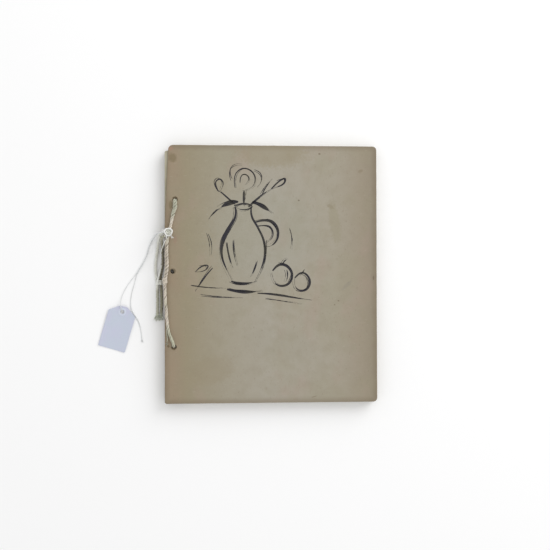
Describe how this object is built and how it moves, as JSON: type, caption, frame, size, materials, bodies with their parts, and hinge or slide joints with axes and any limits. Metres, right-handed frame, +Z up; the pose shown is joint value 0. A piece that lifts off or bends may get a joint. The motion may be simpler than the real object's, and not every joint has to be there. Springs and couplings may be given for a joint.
{
  "type": "sketchbook",
  "caption": "Side-laced sketchbook with plain grey-brown card covers, loose drawing leaves bound by a cotton cord, an ink drawing on the front and a blank strung ticket.",
  "frame": {"origin": "centre of the book's footprint on the surface it lies on, without the hanging cord ends and the ticket", "axes": "+Z up out of the front cover, +Y to the head of the book, +X to its fore edge; the spine edge is at -X"},
  "size_m": [0.2755, 0.254, 0.0178],
  "materials": {
    "cover_board": "uncoated grey-brown card, matt and mottled",
    "drawing_paper": "uncoated off-white drawing paper",
    "cotton_cord": "twisted cotton, worn and slightly soiled",
    "ticket_string": "thin twisted cotton twine",
    "ticket_card": "smooth pale lavender card",
    "ticket_ring": "gummed paper washer"
  },
  "bodies": {
    "binding": {"back_cover_margin": "cover_board", "leaf_margins": "drawing_paper", "front_cover_margin": "cover_board", "lacing": "cotton_cord", "tie_knot": "cotton_cord", "front_knot": "cotton_cord", "outer_end": "cotton_cord", "inner_end": "cotton_cord", "end_knot": "cotton_cord"},
    "front_cover": {"front_cover": "cover_board"},
    "leaf_01": {"leaf_01": "drawing_paper"},
    "leaf_02": {"leaf_02": "drawing_paper"},
    "leaf_03": {"leaf_03": "drawing_paper"},
    "leaf_04": {"leaf_04": "drawing_paper"},
    "leaf_05": {"leaf_05": "drawing_paper"},
    "leaf_06": {"leaf_06": "drawing_paper"},
    "leaf_07": {"leaf_07": "drawing_paper"},
    "leaf_08": {"leaf_08": "drawing_paper"},
    "leaf_09": {"leaf_09": "drawing_paper"},
    "leaf_10": {"leaf_10": "drawing_paper"},
    "leaf_11": {"leaf_11": "drawing_paper"},
    "leaf_12": {"leaf_12": "drawing_paper"},
    "leaf_13": {"leaf_13": "drawing_paper"},
    "leaf_14": {"leaf_14": "drawing_paper"},
    "leaf_15": {"leaf_15": "drawing_paper"},
    "leaf_16": {"leaf_16": "drawing_paper"},
    "leaf_17": {"leaf_17": "drawing_paper"},
    "leaf_18": {"leaf_18": "drawing_paper"},
    "leaf_19": {"leaf_19": "drawing_paper"},
    "leaf_20": {"leaf_20": "drawing_paper"},
    "leaf_21": {"leaf_21": "drawing_paper"},
    "leaf_22": {"leaf_22": "drawing_paper"},
    "leaf_23": {"leaf_23": "drawing_paper"},
    "leaf_24": {"leaf_24": "drawing_paper"},
    "back_cover": {"back_cover": "cover_board"},
    "ticket_twine": {"hitch_ring": "ticket_string", "ticket_twine": "ticket_string", "left_strand": "ticket_string", "right_strand": "ticket_string"},
    "ticket": {"ticket_card": "ticket_card", "ticket_ring": "ticket_ring"}
  },
  "joints": [
    {"name": "front_cover_open", "type": "hinge", "parent": "binding", "child": "front_cover", "pos_m": [-0.089, 0, 0.012], "axis": [0, -1, 0], "range_deg": [0, 140]},
    {"name": "leaf_01_turn", "type": "hinge", "parent": "binding", "child": "leaf_01", "pos_m": [-0.089, 0, 0.012], "axis": [0, -1, 0], "range_deg": [0, 134.4]},
    {"name": "leaf_02_turn", "type": "hinge", "parent": "binding", "child": "leaf_02", "pos_m": [-0.089, 0, 0.012], "axis": [0, -1, 0], "range_deg": [0, 128.8]},
    {"name": "leaf_03_turn", "type": "hinge", "parent": "binding", "child": "leaf_03", "pos_m": [-0.089, 0, 0.012], "axis": [0, -1, 0], "range_deg": [0, 123.2]},
    {"name": "leaf_04_turn", "type": "hinge", "parent": "binding", "child": "leaf_04", "pos_m": [-0.089, 0, 0.012], "axis": [0, -1, 0], "range_deg": [0, 117.6]},
    {"name": "leaf_05_turn", "type": "hinge", "parent": "binding", "child": "leaf_05", "pos_m": [-0.089, 0, 0.012], "axis": [0, -1, 0], "range_deg": [0, 112]},
    {"name": "leaf_06_turn", "type": "hinge", "parent": "binding", "child": "leaf_06", "pos_m": [-0.089, 0, 0.012], "axis": [0, -1, 0], "range_deg": [0, 106.4]},
    {"name": "leaf_07_turn", "type": "hinge", "parent": "binding", "child": "leaf_07", "pos_m": [-0.089, 0, 0.012], "axis": [0, -1, 0], "range_deg": [0, 100.8]},
    {"name": "leaf_08_turn", "type": "hinge", "parent": "binding", "child": "leaf_08", "pos_m": [-0.089, 0, 0.012], "axis": [0, -1, 0], "range_deg": [0, 95.2]},
    {"name": "leaf_09_turn", "type": "hinge", "parent": "binding", "child": "leaf_09", "pos_m": [-0.089, 0, 0.012], "axis": [0, -1, 0], "range_deg": [0, 89.6]},
    {"name": "leaf_10_turn", "type": "hinge", "parent": "binding", "child": "leaf_10", "pos_m": [-0.089, 0, 0.012], "axis": [0, -1, 0], "range_deg": [0, 84]},
    {"name": "leaf_11_turn", "type": "hinge", "parent": "binding", "child": "leaf_11", "pos_m": [-0.089, 0, 0.012], "axis": [0, -1, 0], "range_deg": [0, 78.4]},
    {"name": "leaf_12_turn", "type": "hinge", "parent": "binding", "child": "leaf_12", "pos_m": [-0.089, 0, 0.012], "axis": [0, -1, 0], "range_deg": [0, 72.8]},
    {"name": "leaf_13_turn", "type": "hinge", "parent": "binding", "child": "leaf_13", "pos_m": [-0.089, 0, 0.012], "axis": [0, -1, 0], "range_deg": [0, 67.2]},
    {"name": "leaf_14_turn", "type": "hinge", "parent": "binding", "child": "leaf_14", "pos_m": [-0.089, 0, 0.012], "axis": [0, -1, 0], "range_deg": [0, 61.6]},
    {"name": "leaf_15_turn", "type": "hinge", "parent": "binding", "child": "leaf_15", "pos_m": [-0.089, 0, 0.012], "axis": [0, -1, 0], "range_deg": [0, 56]},
    {"name": "leaf_16_turn", "type": "hinge", "parent": "binding", "child": "leaf_16", "pos_m": [-0.089, 0, 0.012], "axis": [0, -1, 0], "range_deg": [0, 50.4]},
    {"name": "leaf_17_turn", "type": "hinge", "parent": "binding", "child": "leaf_17", "pos_m": [-0.089, 0, 0.012], "axis": [0, -1, 0], "range_deg": [0, 44.8]},
    {"name": "leaf_18_turn", "type": "hinge", "parent": "binding", "child": "leaf_18", "pos_m": [-0.089, 0, 0.012], "axis": [0, -1, 0], "range_deg": [0, 39.2]},
    {"name": "leaf_19_turn", "type": "hinge", "parent": "binding", "child": "leaf_19", "pos_m": [-0.089, 0, 0.012], "axis": [0, -1, 0], "range_deg": [0, 33.6]},
    {"name": "leaf_20_turn", "type": "hinge", "parent": "binding", "child": "leaf_20", "pos_m": [-0.089, 0, 0.012], "axis": [0, -1, 0], "range_deg": [0, 28]},
    {"name": "leaf_21_turn", "type": "hinge", "parent": "binding", "child": "leaf_21", "pos_m": [-0.089, 0, 0.012], "axis": [0, -1, 0], "range_deg": [0, 22.4]},
    {"name": "leaf_22_turn", "type": "hinge", "parent": "binding", "child": "leaf_22", "pos_m": [-0.089, 0, 0.012], "axis": [0, -1, 0], "range_deg": [0, 16.8]},
    {"name": "leaf_23_turn", "type": "hinge", "parent": "binding", "child": "leaf_23", "pos_m": [-0.089, 0, 0.012], "axis": [0, -1, 0], "range_deg": [0, 11.2]},
    {"name": "leaf_24_turn", "type": "hinge", "parent": "binding", "child": "leaf_24", "pos_m": [-0.089, 0, 0.012], "axis": [0, -1, 0], "range_deg": [0, 5.6]},
    {"name": "back_cover_open", "type": "hinge", "parent": "binding", "child": "back_cover", "pos_m": [-0.089, 0, 0], "axis": [0, 1, 0], "range_deg": [0, 140]},
    {"name": "twine_swing", "type": "hinge", "parent": "binding", "child": "ticket_twine", "pos_m": [-0.1009, 0.0413, 0.0169], "axis": [0, 0, 1], "range_deg": [-60, 4]},
    {"name": "ticket_turn", "type": "hinge", "parent": "ticket_twine", "child": "ticket", "pos_m": [-0.1468, -0.037, 0.00125], "axis": [0, 0, 1], "range_deg": [-50, 8]}
  ],
  "couplings": [
    {"joint": "leaf_01_turn", "follows": "front_cover_open", "ratio": 0.96},
    {"joint": "leaf_02_turn", "follows": "front_cover_open", "ratio": 0.92},
    {"joint": "leaf_03_turn", "follows": "front_cover_open", "ratio": 0.88},
    {"joint": "leaf_04_turn", "follows": "front_cover_open", "ratio": 0.84},
    {"joint": "leaf_05_turn", "follows": "front_cover_open", "ratio": 0.8},
    {"joint": "leaf_06_turn", "follows": "front_cover_open", "ratio": 0.76},
    {"joint": "leaf_07_turn", "follows": "front_cover_open", "ratio": 0.72},
    {"joint": "leaf_08_turn", "follows": "front_cover_open", "ratio": 0.68},
    {"joint": "leaf_09_turn", "follows": "front_cover_open", "ratio": 0.64},
    {"joint": "leaf_10_turn", "follows": "front_cover_open", "ratio": 0.6},
    {"joint": "leaf_11_turn", "follows": "front_cover_open", "ratio": 0.56},
    {"joint": "leaf_12_turn", "follows": "front_cover_open", "ratio": 0.52},
    {"joint": "leaf_13_turn", "follows": "front_cover_open", "ratio": 0.48},
    {"joint": "leaf_14_turn", "follows": "front_cover_open", "ratio": 0.44},
    {"joint": "leaf_15_turn", "follows": "front_cover_open", "ratio": 0.4},
    {"joint": "leaf_16_turn", "follows": "front_cover_open", "ratio": 0.36},
    {"joint": "leaf_17_turn", "follows": "front_cover_open", "ratio": 0.32},
    {"joint": "leaf_18_turn", "follows": "front_cover_open", "ratio": 0.28},
    {"joint": "leaf_19_turn", "follows": "front_cover_open", "ratio": 0.24},
    {"joint": "leaf_20_turn", "follows": "front_cover_open", "ratio": 0.2},
    {"joint": "leaf_21_turn", "follows": "front_cover_open", "ratio": 0.16},
    {"joint": "leaf_22_turn", "follows": "front_cover_open", "ratio": 0.12},
    {"joint": "leaf_23_turn", "follows": "front_cover_open", "ratio": 0.08},
    {"joint": "leaf_24_turn", "follows": "front_cover_open", "ratio": 0.04}
  ]
}
